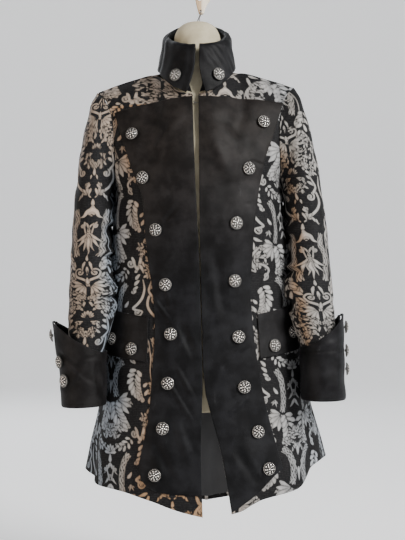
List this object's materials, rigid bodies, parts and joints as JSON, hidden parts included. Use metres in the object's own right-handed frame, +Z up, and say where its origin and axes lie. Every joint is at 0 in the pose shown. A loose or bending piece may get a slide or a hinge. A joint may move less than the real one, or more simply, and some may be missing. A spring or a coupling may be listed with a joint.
{
  "type": "frock coat on a limbless hanging dress form, with its wooden wall hook",
  "caption": "Women's damask frock coat with black velvet front panels, collar, pocket flaps and turned-back cuffs, on a limbless form hung from a wooden hook.",
  "frame": {"origin": "the flat top of the wooden hook that holds the form and the coat up", "axes": "+Z up, the coat's front faces -Y, +X towards the wearer's left"},
  "size_m": [0.585, 0.3249, 1.0956],
  "materials": {
    "damask": "figured silver-grey on black jacquard",
    "black_velvet": "short pile velvet",
    "black_satin": "satin lining",
    "antique_silver": "cast, darkened in the hollows",
    "steel_wire": "plain drawn wire",
    "form_cream": "cream cloth stretched over the form, creased at the neck",
    "pale_wood": "sanded, unvarnished"
  },
  "bodies": {
    "root": {"front_right": "damask", "front_left": "damask", "back_right": "damask", "back_left": "damask", "sleeve_right": "damask", "sleeve_left": "damask", "velvet_panel_right": "black_velvet", "velvet_panel_left": "black_velvet", "pocket_flap_right": "black_velvet", "pocket_flap_left": "black_velvet", "cuff_right": "black_velvet", "cuff_left": "black_velvet", "collar_stand": "black_velvet", "collar_fall": "black_velvet", "lining_back": "black_satin", "button_panel_right_1": "antique_silver", "button_panel_right_2": "antique_silver", "button_panel_right_3": "antique_silver", "button_panel_right_4": "antique_silver", "button_panel_right_5": "antique_silver", "button_panel_right_6": "antique_silver", "button_panel_right_7": "antique_silver", "button_panel_right_8": "antique_silver", "button_flap_right_1": "antique_silver", "button_flap_right_2": "antique_silver", "button_cuff_right_1": "antique_silver", "button_cuff_right_2": "antique_silver", "button_cuff_right_3": "antique_silver", "button_collar_right": "antique_silver", "button_panel_left_1": "antique_silver", "button_panel_left_2": "antique_silver", "button_panel_left_3": "antique_silver", "button_panel_left_4": "antique_silver", "button_panel_left_5": "antique_silver", "button_panel_left_6": "antique_silver", "button_panel_left_7": "antique_silver", "button_panel_left_8": "antique_silver", "button_flap_left_1": "antique_silver", "button_flap_left_2": "antique_silver", "button_cuff_left_1": "antique_silver", "button_cuff_left_2": "antique_silver", "button_cuff_left_3": "antique_silver", "button_collar_left": "antique_silver", "neck_eye": "steel_wire", "neck_hook": "steel_wire", "hanging_wire": "steel_wire", "dress_form": "form_cream", "wooden_hook": "pale_wood"}
  },
  "joints": []
}
